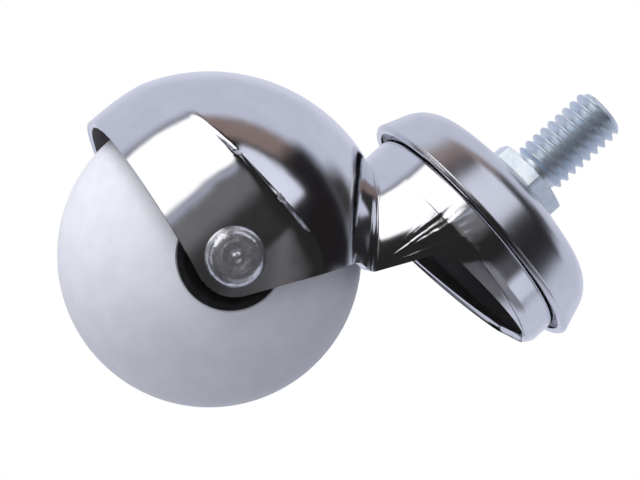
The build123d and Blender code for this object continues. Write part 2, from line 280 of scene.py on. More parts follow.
outside, inside = cap_skin(0.0), cap_skin(CAP_SHEET)
lip = np.array([outside[-1] + (0, LIP_ROUND), outside[-1] - (LIP_ROUND, 0),
                inside[-1] + (LIP_ROUND, 0), inside[-1] + (0, LIP_ROUND)])
cap_profile = np.concatenate([outside[:-1], lip, inside[-2::-1], outside[:1]])
cap = make_piece("cap_cover_pressed", [turned(refine(cap_profile, 0.8), 200)], crease=40)

# %% [markdown]
# ## The thread
# Stem, hexagon and king pin are one turned bar. The thread is a real groove that climbs one pitch a turn:
# each row of the grid follows the helix, so crests and roots lie along rows. A bump map would be lighter,
# but the outline would stay straight, and the photograph shows its teeth. Beyond the tip's chamfer and
# the relief under the thread the same rows are cut level.

# %% Thread
PITCH = 25.4 / 18
STEM_RADIUS, STEM_LENGTH, STEM_CHAMFER = 3.97, 13.7, 0.7
THREAD_DEPTH, CREST_SHARE, RUN_OUT = 0.78, 0.12, 0.5
RELIEF_RADIUS, RELIEF_LENGTH, STEM_FOOT = 3.15, 1.0, -1.0


def thread_radius(angle, height):
    """Radius of the stem: from a narrow crest the flank falls as 1 - (1 - share)^1.3, which ends in a round
    root. It fades into the relief below and is cut by the 45 degree chamfer above."""
    turn = (height / PITCH - angle / (2 * pi)) % 1.0
    side = np.abs(turn - 0.5) * 2
    share = np.clip((side - CREST_SHARE) / (1 - CREST_SHARE), 0, 1)
    thread = STEM_RADIUS - THREAD_DEPTH * (1 - (1 - share) ** 1.3)
    start = np.clip((height - RELIEF_LENGTH) / RUN_OUT, 0, 1)
    chamfer = STEM_RADIUS - STEM_CHAMFER + STEM_LENGTH - height
    return np.minimum(RELIEF_RADIUS + (thread - RELIEF_RADIUS) * start, chamfer)


def ring(away, angle, height):
    """Points round the stem: x = d cos a, y = d sin a, z = h."""
    return np.stack([away * np.cos(angle), away * np.sin(angle), height + 0 * angle], axis=-1)


def stem_grid(columns=96, per_turn=14):
    """Rows follow the helix: height = row / per_turn * pitch + pitch * angle / 2 pi, cut to the stem."""
    angle = np.linspace(0, 2 * pi, columns + 1)
    rows = np.arange(-per_turn, int(STEM_LENGTH / PITCH * per_turn) + 2)
    height = rows[:, None] / per_turn * PITCH + angle * PITCH / (2 * pi)
    height = np.clip(height, 0, STEM_LENGTH)
    foot = [ring(0.0, angle, STEM_FOOT), ring(RELIEF_RADIUS, angle, STEM_FOOT)]
    body = ring(thread_radius(angle, height), angle, height)
    return np.concatenate([foot, body, [ring(0.0, angle, STEM_LENGTH)]])


print("turns of the thread:", round((STEM_LENGTH - RELIEF_LENGTH) / PITCH, 1))

# %% [markdown]
# ## The hexagon and the king pin
# The hexagon has its upper corners turned off by a cone, as on any nut. Under it the king pin goes down
# through the cap and the drum, holds the lower race on a step and is riveted over below it.

# %% Hexagon and king pin
HEX_FLAT, HEX_HEIGHT, HEX_TURN = 11.1 / 2, 2.35, radians(-92.0)
CORNER_LOSS, OPEN = 0.08, 99.0
PIN_RADIUS, PIN_FLANGE, PIN_STEP, PIN_HEAD = 3.9, 5.2, 2.9, 4.3


def hexagon_grid(per_side=16):
    """Six flats: radius = half width across flats / cos(angle from the flat's middle), cut near the top
    by a cone that is given as radii at a few heights."""
    angle = np.linspace(0, 2 * pi, 6 * per_side + 1)
    flat = HEX_FLAT / np.cos((angle + pi / 6) % (pi / 3) - pi / 6)
    flat = np.minimum(flat, HEX_FLAT / cos(pi / 6) - CORNER_LOSS)
    heights = np.array([-HEX_HEIGHT, -HEX_HEIGHT, -0.32, -0.22, -0.12, 0.0, 0.0])[:, None]
    cone = np.array([OPEN, OPEN, 6.42, 6.15, 5.85, 5.5, OPEN])[:, None]
    away = np.minimum(flat, cone)
    away[0], away[-1] = 0.0, 0.0
    return ring(away, angle + HEX_TURN - pi / 6, heights)


king_pin = np.array([(0, -2.0), (PIN_RADIUS, -2.0), (PIN_RADIUS, -3.25), (PIN_FLANGE, -3.25),
                     (PIN_FLANGE, -3.45), (PIN_RADIUS, -4.15), (PIN_RADIUS, -11.1), (PIN_STEP, -11.1),
                     (PIN_STEP, -12.2), (PIN_HEAD, -12.2), (4.0, -12.9), (PIN_STEP, -13.7), (0, -13.7)])
stud_grids = [stem_grid(), hexagon_grid(), turned(refine(king_pin, 1.5), 64)]
stud = make_piece("threaded_stud_turned", stud_grids, crease=32)

# %% [markdown]
# ## The horn
# Drum, neck, hood and ears are one pressed sheet, and this is the shape that asks most of the maker. It
# can be seen as one row of hoops strung along a bent line: level hoops down the drum, hoops that tilt and
# shrink through the neck, and hoops that swell again over the hood. Each hoop is written as
# centre + cos(a) * reach + sin(a) * width, so rows can be mixed like numbers, and a crease between two
# rows is softened by a quadratic Bezier walk from one to the other.

# %% One hoop
DRUM_TOP, DRUM_SKIRT, DRUM_RADIUS, DRUM_CORNER = -7.636, -15.736, 17.2, 3.0
HORN_SHEET, PIN_HOLE = 1.0, 4.7
DOME_RADIUS, NECK_RISE = 25.3, radians(41.4)
NECK_AT, NECK_RADIUS, SHOULDER = 20.0, 13.0, 5.0
ALONG = np.array([cos(NECK_RISE), sin(NECK_RISE)])
OVER = np.array([-sin(NECK_RISE), cos(NECK_RISE)])
AXLE_XZ = AXLE[[0, 2]]


def level_hoop(radius, height):
    """A level circle about the stem; its angle starts on the wheel's side."""
    return np.array([0.0, height, -radius, 0.0, radius])


def dome_hoop(distance, fall=0.0):
    """A circle across the neck line, at a distance from the axle. Its top stays on the dome while fall
    takes the rest in: radius = sqrt(R^2 - distance^2) - fall."""
    radius = sqrt(DOME_RADIUS ** 2 - distance ** 2) - fall
    centre = AXLE_XZ + ALONG * distance + OVER * fall
    return np.concatenate([centre, OVER * radius, [radius]])


def mix(first, second, share):
    """Rows between two hoops: (1 - share) * first + share * second."""
    share = np.asarray(share)[:, None]
    return (1 - share) * first + share * second


def soften(before, corner, after, steps=8):
    """Quadratic Bezier between two hoops, pulled towards the hoop at the crease."""
    t = np.linspace(0, 1, steps + 1)[:, None]
    return (1 - t) ** 2 * before + 2 * t * (1 - t) * corner + t ** 2 * after


print("radius of the dome's hoop at the neck:", round(dome_hoop(NECK_AT)[4], 2), "mm")

# %% [markdown]
# ## From the plate to the shoulder
# The hoops start at the hole for the king pin and go out over the plate, round the drum's corner, down
# its wall and in along the funnel to the neck. From the neck the shoulder swells back onto the dome: its
# fall goes with the cube of the distance, so it leaves the dome without a visible line.

# %% Hoops from plate to shoulder
neck_fall = sqrt(DOME_RADIUS ** 2 - NECK_AT ** 2) - NECK_RADIUS
neck_hoop = dome_hoop(NECK_AT, neck_fall)
skirt_hoop = level_hoop(DRUM_RADIUS, DRUM_SKIRT)
corner_turn = np.linspace(0, pi / 2, 13)
plate = [level_hoop(r, DRUM_TOP) for r in np.linspace(PIN_HOLE, DRUM_RADIUS - DRUM_CORNER, 36)]
corner = [level_hoop(DRUM_RADIUS - DRUM_CORNER * (1 - sin(a)), DRUM_TOP - DRUM_CORNER * (1 - cos(a)))
          for a in corner_turn[1:]]
wall = [level_hoop(DRUM_RADIUS, z) for z in np.linspace(DRUM_TOP - DRUM_CORNER, DRUM_SKIRT + 0.6, 8)[1:]]
funnel_start, funnel_end = mix(skirt_hoop, neck_hoop, [0.05, 0.93])
skirt_bend = soften(wall[-1], skirt_hoop, funnel_start, 6)[1:]
funnel = mix(funnel_start, funnel_end, np.linspace(0, 1, 52) ** 1.3)[1:]
shoulder_share = np.linspace(0.86, 0.0, 22)
shoulder = [dome_hoop(NECK_AT - SHOULDER * (1 - share), neck_fall * share ** 3) for share in shoulder_share]
neck_bend = soften(funnel[-1], neck_hoop, shoulder[0], 14)[1:-1]
print("hoops on drum and neck:", len(plate) + len(corner) + len(wall) + len(skirt_bend) + len(funnel))

# %% [markdown]
# ## The hood's upright wall
# Above the axle the hood is a ball-shaped dome. Below a crease it drops into an upright wall: flat where
# the ears hold the rivet, and round at the front. A point that lies outside that wall is drawn straight
# towards the axle's middle until it lies on it. The distance to draw it is found by halving an interval,
# for all points at once. The reflections in the photograph show that the step is steep at the ears and
# fades out towards the neck.

# %% Upright wall
CREASE_RISE, STEP_SLOPE, EAR_FLAT = 9.98, tan(radians(76.0)), 3.4
CREASE_ROUND, EDGE_ROUND = 0.7, 2.0
FADE_FROM, FADE = 2.0, 0.22
NEAREST, FARTHEST, HALVINGS = 0.5, 1.3, 26


def beyond_wall(points):
    """Distance outside the wall. In plan it is the distance from a line that ends EAR_FLAT in front of
    the axle, less the wall's own. Above the crease the wall flares by slope * ramp, where
    ramp = (above + sqrt(above^2 + softness^2)) / 2, and the softness grows towards the neck."""
    x, y, z = points[..., 0], points[..., 1], points[..., 2]
    plan = np.hypot(np.minimum(x + EAR_FLAT, 0), y)
    above = z - CREASE_RISE
    softness = CREASE_ROUND + FADE * np.clip(x - FADE_FROM, 0, None)
    ramp = (above + np.sqrt(above ** 2 + softness ** 2)) / 2
    return plan - EAR_OUTER - STEP_SLOPE * ramp


def press_wall(points):
    """Points of the dome drawn in to the wall. Where dome and wall meet within EDGE_ROUND, the smaller
    reach loses a quarter of EDGE_ROUND times the square of their overlap, which rounds the edge."""
    local = points - AXLE
    low, high = np.full(local.shape[:-1], NEAREST), np.full(local.shape[:-1], FARTHEST)
    for _ in range(HALVINGS):
        middle = (low + high) / 2
        outside = beyond_wall(local * middle[..., None]) > 0
        high = np.where(outside, middle, high)
        low = np.where(outside, low, middle)
    reach = np.linalg.norm(local, axis=-1)
    wall_reach = reach * low
    overlap = np.clip(EDGE_ROUND - np.abs(wall_reach - reach), 0, None) / EDGE_ROUND
    drawn = np.minimum(wall_reach, reach) - overlap ** 2 * EDGE_ROUND / 4
    return AXLE + local * (drawn / reach)[..., None]


side_point = AXLE + np.array([0.0, -DOME_RADIUS, 0.0])
print("half width of the hood at the axle:", round(-float(press_wall(side_point)[1]), 2), "mm")

# %% [markdown]
# ## The trimmed edge
# The press cuts the sheet along one outline, seen from the side: under the front of the hood, round the
# ear, up to the neck and along the drum's skirt. The outline is a closed polygon, and a point is cut off
# where a ray from it crosses the polygon an odd number of times.

# %% Outline of the cut
FRONT_SLOPE, REAR_SLOPE, EAR_ROUND = radians(11.3), radians(64.0), 5.3
TOE_RISE, TOE_STEP, WAIST_STEP = 15, (3.0, 1.05), (4.3, 9.3)
SKIRT_EDGE, CUT_REACH, CUT_DEPTH = DRUM_SKIRT - 0.7, 60, -100.0


def cut_outline():
    """Closed polygon in X and Z around everything that the press removes."""
    arc = np.linspace(-pi / 2 - FRONT_SLOPE, -pi / 2 + REAR_SLOPE, 40)
    ear_end = AXLE_XZ + EAR_ROUND * np.stack([np.cos(arc), np.sin(arc)], axis=1)
    toe = ear_end[-1] + np.array([TOE_RISE / tan(REAR_SLOPE), TOE_RISE])
    tip = toe + TOE_STEP
    skirt = [ear_end[-1], toe, tip, tip + WAIST_STEP,
             (DRUM_RADIUS, SKIRT_EDGE), (2 * DRUM_RADIUS, SKIRT_EDGE)]
    skirt = round_corners(skirt, [2.0, 1.5, 4.0, 2.0], 12)
    far = ear_end[0] + CUT_REACH * np.array([-cos(FRONT_SLOPE), sin(FRONT_SLOPE)])
    below = np.array([(2 * DRUM_RADIUS, CUT_DEPTH), (far[0], CUT_DEPTH), far])
    return np.concatenate([ear_end, skirt[1:], below])


CUT = cut_outline()


def is_cut(points):
    """True inside the outline: a ray to the right crosses its sides an odd number of times."""
    x, z = points[..., 0], points[..., 2]
    inside = np.zeros(x.shape, bool)
    for (x0, z0), (x1, z1) in zip(CUT, np.roll(CUT, -1, axis=0)):
        spans = (z0 > z) != (z1 > z)
        crossing = x0 + (z - z0) * (x1 - x0) / (z1 - z0 if z1 != z0 else 1e-9)
        inside ^= spans & (x < crossing)
    return inside


print("outline of the cut has", len(CUT), "points")

# %% [markdown]
# ## Where the hoops meet the cut
# A Boolean could trim the sheet, but it would leave long thin faces that show in the chrome. Instead the
# angle at which each hoop crosses the outline is found, and the hoop's points are spread between both
# crossings, so the mesh ends exactly on the cut.

# %% Hoops and the cut
WALL_BELOW = DRUM_TOP - 5


def hoop_points(hoops, angles):
    """Points of the finished outer skin: centre + cos(a) * reach + sin(a) * width, with the wall pressed
    into what lies below the drum's top. hoops is (rows, 5) and angles (rows, columns)."""
    c, s = np.cos(angles)[..., None], np.sin(angles)[..., None]
    hoops = hoops[:, None]
    flat = hoops[..., 0:2] + c * hoops[..., 2:4]
    points = np.concatenate([flat[..., :1], s * hoops[..., 4:5], flat[..., 1:]], axis=-1)
    return np.where(points[..., 2:] < WALL_BELOW, press_wall(points), points)


def cut_angles(hoops, samples=361):
    """Angle at which each hoop meets the cut, or pi for a whole hoop. The first sample that is cut and
    the one before it are the ends of an interval, which is halved."""
    angles = np.tile(np.linspace(0, pi, samples), (len(hoops), 1))
    cut = is_cut(hoop_points(hoops, angles))
    first = np.argmax(cut, axis=1)
    whole = ~cut.any(axis=1)
    rows = np.arange(len(hoops))
    low, high = angles[rows, np.maximum(first - 1, 0)], angles[rows, first]
    for _ in range(24):
        middle = (low + high) / 2
        cut_here = is_cut(hoop_points(hoops, middle[:, None]))[:, 0]
        high, low = np.where(cut_here, middle, high), np.where(cut_here, low, middle)
    return np.where(whole, pi, low)


print("the neck's hoop is cut at", round(float(cut_angles(neck_hoop[None])[0]) * 180 / pi, 1), "degrees")

# %% [markdown]
# ## Hoops over the hood
# The hood's hoops run on towards its front until the top of a hoop meets the cut. They lie closer
# together near the neck, where the step fades, and near the front, where the hoops grow short.

# %% Hood hoops
def hood_hoops(count=124):
    """Hoops at distance R cos(g). The last one is the hoop whose top just meets the cut. With an even
    share t, what is left of the way is (1 - t + 0.4 sin(2 pi t) / 2 pi)^1.3."""
    start, low, high = acos((NECK_AT - SHOULDER) / DOME_RADIUS), 0.5 * pi, 0.95 * pi
    for _ in range(30):
        middle = (low + high) / 2
        top = hoop_points(dome_hoop(DOME_RADIUS * cos(middle))[None], np.zeros((1, 1)))
        low, high = (low, middle) if is_cut(top)[0, 0] else (middle, high)
    even = np.linspace(0, 1, count)
    left = np.clip(1 - even + 0.4 * np.sin(2 * pi * even) / (2 * pi), 0, 1)
    lean = low - (low - start) * left ** 1.3
    return np.array([dome_hoop(DOME_RADIUS * cos(g)) for g in lean[1:]])


hood = hood_hoops()
hoops = np.concatenate([plate, corner, wall, skirt_bend, funnel, neck_bend, shoulder, hood])
limits = cut_angles(hoops)
limits[-1] = 0.0
last_whole = np.nonzero(limits >= pi - 1e-9)[0].max()
print("hoops:", len(hoops), "whole hoops:", last_whole + 1)

# %% [markdown]
# ## Columns that follow the crease
# A mirror shows every step in a mesh. Where a crease crosses the quads at a slant, it looks like a
# staircase, so one column on each side is led along the crease, and the others are spread around it.

# %% Columns along the crease
def crease_shares(hoops, limits, first_dome):
    """Share of the way to the cut at which a dome hoop crosses the crease's level, where its circle's
    height equals the level. Hoops that the wall doesn't reach take the share of the nearest one."""
    height = CREASE_RISE + 0.15 + AXLE[2] - hoops[:, 1]
    angle = np.arccos(np.clip(height / hoops[:, 3], -1, 1))
    ahead = hoops[:, 0] + np.cos(angle) * hoops[:, 2] - AXLE[0]
    plan = np.hypot(np.minimum(ahead + EAR_FLAT, 0), np.sin(angle) * hoops[:, 4])
    rows = np.arange(len(hoops))
    reached = (plan > EAR_OUTER + 0.3) & (rows > first_dome) & (angle < limits)
    return np.interp(rows, rows[reached], (angle / np.maximum(limits, 1e-6))[reached])


def spread_columns(limits, at_crease, columns=165):
    """Angles of all columns. The middle column of each side runs along the crease, and the steps grow
    away from it as t * (0.35 + 0.65 t)."""
    side = np.linspace(-1, 1, columns)
    above, below = np.clip(1 - 2 * np.abs(side), 0, 1), np.clip(2 * np.abs(side) - 1, 0, 1)
    above, below = above * (0.35 + 0.65 * above), below * (0.35 + 0.65 * below)
    crease = at_crease[:, None]
    share = np.where(np.abs(side) < 0.5, crease * (1 - above), crease + (1 - crease) * below)
    return limits[:, None] * share * np.sign(side)


angles = spread_columns(limits, crease_shares(hoops, limits, len(hoops) - len(hood) - 1))
print("rows and columns of a skin:", angles.shape)

# %% [markdown]
# ## Both skins of the sheet
# The inner skin is the outer one moved in by the sheet's thickness along its normals. A Solidify
# modifier would do the same, but the edge between the skins could then not be rounded by hand. Two ball
# grooves are pressed into the drum's plate, one from each side.

# %% Skins and grooves
UPPER_GROOVE, LOWER_GROOVE = (10.6, 1.9), (7.4, 1.65)


def groove(radius, circle, ball, depth=0.35):
    """Depth of a ball groove: the part of a circle of the given radius that lies within depth."""
    return np.clip(np.sqrt(np.clip(ball ** 2 - (radius - circle) ** 2, 0, None)) - (ball - depth), 0, None)


def skin_normals(hoops, angles):
    """Cross product of the change along a hoop and the change to its neighbours at the same angle."""
    step = 1e-3
    around = hoop_points(hoops, angles + step) - hoop_points(hoops, angles - step)
    ahead = hoop_points(np.concatenate([hoops[1:], hoops[-1:]]), angles)
    behind = hoop_points(np.concatenate([hoops[:1], hoops[:-1]]), angles)
    normal = np.cross(around, ahead - behind)
    return normal / np.linalg.norm(normal, axis=-1, keepdims=True)


outer = hoop_points(hoops, angles)
normals = skin_normals(hoops, angles)
inner = outer - HORN_SHEET * normals
away = np.hypot(outer[: len(plate), :, 0], outer[: len(plate), :, 1])
outer[: len(plate), :, 2] -= groove(away, *UPPER_GROOVE)
inner[: len(plate), :, 2] += groove(away, *LOWER_GROOVE)
print("points on both skins:", outer[..., 0].size + inner[..., 0].size)

# %% [markdown]
# ## The sheet's rounded edge
# A blanked and tumbled edge is never square. The strip between both skins follows the cut round the
# whole piece and swells outwards a little, so the edge catches a thin line of light. Its two ends meet on
# the last whole hoop, and share one outward direction there.

# %% Horn mesh
def rounded_edge(first, second, outward, bulge=0.22, steps=6):
    """Strip between both skins: (1 + cos t) / 2 of the first and (1 - cos t) / 2 of the second, moved
    outward by bulge * sin t."""
    t = np.linspace(0, pi, steps + 1)[None, :, None]
    mixed = first[:, None] * ((1 + np.cos(t)) / 2) + second[:, None] * ((1 - np.cos(t)) / 2)
    return mixed + bulge * np.sin(t) * outward[:, None]


right = [(row, -1) for row in range(last_whole, len(hoops))]
left = [(row, 0) for row in range(len(hoops) - 2, last_whole - 1, -1)]
edge_rows, edge_columns = np.array(right + left).T
edge_outer, edge_inner = outer[edge_rows, edge_columns], inner[edge_rows, edge_columns]
along_edge = np.roll(edge_outer, -1, axis=0) - np.roll(edge_outer, 1, axis=0)
along_edge[0], along_edge[-1] = edge_outer[1] - edge_outer[0], edge_outer[-1] - edge_outer[-2]
outward = np.cross(normals[edge_rows, edge_columns], along_edge)
outward[[0, -1]] = outward[0] + outward[-1]
outward /= np.linalg.norm(outward, axis=1, keepdims=True)
cut_edge = rounded_edge(edge_outer, edge_inner, outward)
hole_edge = np.stack([outer[0], inner[0]])
horn_grids = [outer, cut_edge, hole_edge, inner]
horn = make_piece("horn_pressed_sheet", horn_grids, crease=48, merge=1e-7, inside=(3,))

# %% [markdown]
# ## Pieces take their places
# Every new piece rides on the body of the CAD node that it stands for, hides that node and names the
# material slot that it dresses.

# %% Ride, replace, slot
PLACES = [
    (ball, "wheel", "wheel_tread", "white_plastic"),
    (hub, "wheel", "hub_core", "black_plastic"),
    (rivet, "fork", "axle_rivet", "rivet_chrome"),
    (horn, "fork", "horn", "chrome"),
    (cap, "stem", "cup_cover", "chrome"),
    (stud, "stem", "threaded_stud", "zinc"),
]
for piece, body, node, slot in PLACES:
    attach(piece, body)
    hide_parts(node)
print("pieces placed:", len(PLACES))

# %% [markdown]
# ## Shader words
# Blender's materials are node trees. Written out node by node they are long and hard to read, so one
# small class wraps a socket and overloads the arithmetic signs: each sign adds the Math node that does
# it. Where a side is a vector or a colour it adds a Vector Math node instead. One function adds every
# other node: first its settings, then its sockets.

# %% A socket that does arithmetic
class Wire:
    """An output socket of a node tree."""

    def __init__(self, tree, socket):
        self.tree, self.socket = tree, socket

    def node(self, kind, settings=None, sockets=None, output=0):
        """Adds any node: its settings first, then its sockets, by name or number."""
        return add_node(self.tree, kind, settings, sockets, output)

    def join(self, operation, first, second):
        """Math node, or a Vector Math node where one side is a vector."""
        sides = [first, second]
        if not any(is_vector(side) for side in sides):
            return self.node("ShaderNodeMath", {"operation": operation}, dict(enumerate(sides)))
        sides = [(side,) * 3 if isinstance(side, (int, float)) else side for side in sides]
        return self.node("ShaderNodeVectorMath", {"operation": operation}, dict(enumerate(sides)))

    def __add__(self, other):
        return self.join("ADD", self, other)

    def __radd__(self, other):
        return self.join("ADD", other, self)

    def __sub__(self, other):
        return self.join("SUBTRACT", self, other)

    def __rsub__(self, other):
        return self.join("SUBTRACT", other, self)

    def __mul__(self, other):
        return self.join("MULTIPLY", self, other)

    def __rmul__(self, other):
        return self.join("MULTIPLY", other, self)

    def __truediv__(self, other):
        return self.join("DIVIDE", self, other)

    def __abs__(self):
        return self.node("ShaderNodeMath", {"operation": "ABSOLUTE"}, {0: self})

    def dot(self, direction):
        """Share of this vector that points in a direction."""
        sockets = {0: self, 1: tuple(direction)}
        return self.node("ShaderNodeVectorMath", {"operation": "DOT_PRODUCT"}, sockets, "Value")

    def length(self):
        """Length of this vector."""
        return self.node("ShaderNodeVectorMath", {"operation": "LENGTH"}, {0: self}, "Value")

    def between(self, low, high):
        """0 below low, 1 above high, and a soft step in between."""
        sockets = {"Value": self, "From Min": low, "From Max": high}
        return self.node("ShaderNodeMapRange", {"interpolation_type": "SMOOTHSTEP"}, sockets)

    def blend(self, first, second):
        """Colour that goes from first to second as this wire goes from 0 to 1."""
        return self.node("ShaderNodeMix", {"data_type": "RGBA"}, {0: self, 6: first, 7: second}, 2)

    def noise(self, scale, detail=3.0, roughness=0.55):
        """Soft noise between 0 and 1 at this place. In millimetres, 1 / scale is the size of a cloud."""
        sockets = {"Vector": self, "Scale": scale, "Detail": detail, "Roughness": roughness}
        return self.node("ShaderNodeTexNoise", {}, sockets)

    def wave_of(self):
        """Sine of this wire."""
        return self.node("ShaderNodeMath", {"operation": "SINE"}, {0: self})


def is_vector(value):
    """True for a tuple, and for a wire that carries a vector or a colour."""
    return isinstance(value, tuple) or isinstance(value, Wire) and value.socket.type in ("VECTOR", "RGBA")


def add_node(tree, kind, settings=None, sockets=None, output=0):
    """New node with its settings and then its sockets. A wire is linked, a plain value is typed in, and
    a colour gets its alpha of 1."""
    node = tree.nodes.new(kind)
    for key, value in (settings or {}).items():
        setattr(node, key, value)
    for key, value in (sockets or {}).items():
        target = node.inputs[key]
        if isinstance(value, Wire):
            tree.links.new(value.socket, target)
        else:
            size = len(target.default_value) if isinstance(value, tuple) else 0
            target.default_value = tuple(value) + (1.0,) * (size - len(value)) if size else value
    return Wire(tree, node.outputs[output]) if node.outputs else node


print("reflected signs of a wire:", sorted(name for name in vars(Wire) if name.startswith("__r")))

# %% [markdown]
# ## A material from plain and varied values
# Values that are the same all over a surface are typed into the shader's own sockets. Values that vary
# come as wires. Object coordinates are turned into millimetres first, so that all pattern sizes below
# can be read as real sizes.

# %% Material helper
def new_material(name, **plain):
    """Material with a Principled shader, its plain values set, and its coordinates in millimetres."""
    material = bpy.data.materials.new(name)
    material.use_nodes = True
    shader = material.node_tree.nodes["Principled BSDF"]
    for key, value in plain.items():
        socket = shader.inputs[key.replace("_", " ")]
        socket.default_value = (*value, 1.0) if isinstance(value, tuple) else value
    place = add_node(material.node_tree, "ShaderNodeTexCoord", output="Object") * 1000.0
    return material, place


def vary(material, **wires):
    """Links wires to the shader's sockets. A wire for Height, in millimetres, goes through a Bump node."""
    tree = material.node_tree
    shader = tree.nodes["Principled BSDF"]
    for key, wire in wires.items():
        if key == "Height":
            wire = wire.node("ShaderNodeBump", {}, {"Strength": 1.0, "Distance": MM, "Height": wire})
            key = "Normal"
        tree.links.new(wire.socket, shader.inputs[key.replace("_", " ")])
    print("material:", material.name, "nodes:", len(tree.nodes))
    return material


print("materials so far:", len(bpy.data.materials))

# %% [markdown]
# ## Wrinkles at the neck
# Where the press pinches the funnel into the neck, the sheet has too much metal and folds into fine
# wrinkles. In the photograph they fan out over the funnel from the neck's lower corner and break up the
# light there. Two sines of the direction from that corner give the fan, noise bends its rays, and soft
# steps keep it on the funnel.

# %% Wrinkles
NECK_CORNER = (-7.0, 0.0, -27.4)


def draw_wrinkles(place):
    """sin(30 c + noise) + 0.35 sin(71 c + noise), where c is the cosine between +X and the direction from
    the neck's corner, seen from the side. It fades in from 1 to 6 mm and out from 10 to 17 mm, where c
    falls below 0.06, and below the corner's height."""
    from_corner = (place - NECK_CORNER) * (1.0, 0.0, 1.0)
    away, upward = from_corner.length(), from_corner.dot((0.0, 0.0, 1.0))
    lean = from_corner.dot((1.0, 0.0, 0.0)) / away
    broad = (lean * 30.0 + place.noise(0.16) * 7.0).wave_of()
    narrow = (lean * 71.0 + place.noise(0.3) * 5.0).wave_of()
    on_funnel = lean.between(-0.12, 0.06) * upward.between(-1.0, 0.5)
    return (broad + narrow * 0.35) * on_funnel * away.between(1.0, 6.0) * (1 - away.between(10.0, 17.0))


print("wrinkles fan out from", NECK_CORNER, "mm")

# %% [markdown]
# ## Bright chrome on the horn and the cap
# Decorative chrome is a mirror with a slightly blue-grey colour. Real pressed chrome is never a perfect
# mirror: the sheet keeps a slow swell of about a tenth of a millimetre over more than a centimetre, with
# a much finer orange peel on it, and the buffing leaves soft clouds of gloss. Inside the horn little
# chrome settles, so the metal stays dull there, and its colour is darkened as painted shade.

# %% Chrome
CHROME_DARK, CHROME_BRIGHT = (0.80, 0.80, 0.84), (0.86, 0.86, 0.89)
# Colours of the horn's inner side: dull bare metal, darkened as painted shade.
BARE_PAINTED_SHADE_DARK, BARE_PAINTED_SHADE_BRIGHT, BARE_HAZE = (0.26, 0.245, 0.235), (0.46, 0.44, 0.43), 0.42


def chrome_finish(name, peel, haze, wrinkle=0.0, dull_and_shaded_inside=False):
    """Metallic grey, clouds in the gloss, a slow swell with orange peel on it, and wrinkles of the given
    height. Where the mesh marks the sheet's inner side, the metal is dull, darkened as painted shade."""
    material, place = new_material(name, Metallic=1.0)
    clouds = place.noise(0.22, 4.0)
    fine = place.noise(2.6, 3.0)
    gloss = haze + clouds * 0.06 + fine * 0.03
    colour = clouds.between(0.3, 0.7).blend(CHROME_DARK, CHROME_BRIGHT)
    swell = place.noise(0.07, 1.0) * (peel * 8.0) + place.noise(0.30, 1.0) * peel + fine * (peel * 0.03)
    if wrinkle:
        swell = swell + draw_wrinkles(place) * wrinkle
    # Painted shade: the inner skin gets a dark, dull colour.
    if dull_and_shaded_inside:
        marked = {"attribute_name": "inside"}
        inner = add_node(material.node_tree, "ShaderNodeAttribute", marked, output="Fac")
        colour = inner.blend(colour, clouds.blend(BARE_PAINTED_SHADE_DARK, BARE_PAINTED_SHADE_BRIGHT))
        gloss = gloss + inner * BARE_HAZE
    return vary(material, Base_Color=colour, Roughness=gloss, Height=swell)


horn_chrome = chrome_finish("pressed chrome on the horn", 0.02, 0.07, wrinkle=0.028, dull_and_shaded_inside=True)
cap_chrome = chrome_finish("pressed chrome on the cap", 0.012, 0.20)

# %% [markdown]
# ## The rivet's spun head
# The same chrome, but the spinning tool left circles round the axle. Their height follows the sine of
# the distance from the axle.

# %% Spun chrome
spun_chrome, place = new_material("spun chrome on the rivet", Metallic=0.85)
round_axle = (place - tuple(AXLE.tolist())) * (1.0, 0.0, 1.0)
rings = (round_axle.length() * 42.0 + place.noise(0.8) * 3.0).wave_of()
clouds = place.noise(0.9, 4.0)
vary(spun_chrome, Base_Color=clouds.between(0.3, 0.7).blend((0.74, 0.74, 0.78), (0.86, 0.86, 0.89)),
     Roughness=0.16 + clouds * 0.12, Height=rings * 0.0012 + place.noise(1.1) * 0.10)

# %% [markdown]
# ## Bright zinc on the stud
# The stud is plated in bright zinc with a blue passivation. It is duller than chrome, its colour drifts
# between a cold blue and a warm grey, and the lathe left fine turning marks along it.

# %% Zinc
ZINC_BLUE, ZINC_GREY, ZINC_FROST = (0.76, 0.84, 0.94), (0.88, 0.93, 0.97), (0.70, 0.78, 0.88)
zinc, place = new_material("blue bright zinc", Metallic=0.85)
drift = place.noise(0.45, 3.0)
frost = place.noise(3.2, 4.0)
turning = (place.dot((0.0, 0.0, 1.0)) * 55.0 + place.noise(2.0) * 2.0).wave_of()
zinc_colour = drift.between(0.35, 0.65).blend(ZINC_BLUE, ZINC_GREY)
vary(zinc, Base_Color=frost.between(0.35, 0.8).blend(zinc_colour, ZINC_FROST),
     Roughness=0.22 + frost * 0.16, Height=frost * 0.02 + turning * 0.0015)

# %% [markdown]
# ## White plastic
# The ball is white polypropylene with a satin skin, on which a mould leaves a barely visible mottle. A
# little light goes into it and comes out again nearby.

# %% White plastic
white_plastic, place = new_material("white moulded plastic", Subsurface_Weight=0.06, Subsurface_Scale=0.002)
mottle = place.noise(0.30, 4.0)
grain = place.noise(5.0, 2.0)
vary(white_plastic, Base_Color=mottle.between(0.3, 0.7).blend((0.79, 0.79, 0.84), (0.84, 0.84, 0.88)),
     Roughness=0.30 + grain * 0.10 + mottle * 0.06, Height=mottle * 0.02 + grain * 0.002)

# %% [markdown]
# ## Black plastic
# The hub is the same plastic, coloured black, with a finer grain.

# %% Black plastic
black_plastic, place = new_material("black moulded plastic")
mottle = place.noise(0.6, 3.0)
grain = place.noise(7.0, 2.0)
vary(black_plastic, Base_Color=mottle.between(0.3, 0.7).blend((0.012, 0.013, 0.013), (0.022, 0.023, 0.023)),
     Roughness=0.36 + grain * 0.14, Height=grain * 0.006)

# %% [markdown]
# ## Hidden steel
# The bearing balls are ground and polished, the sleeve and the lower race are plain bright steel. They
# stay CAD nodes, and only get a finish.

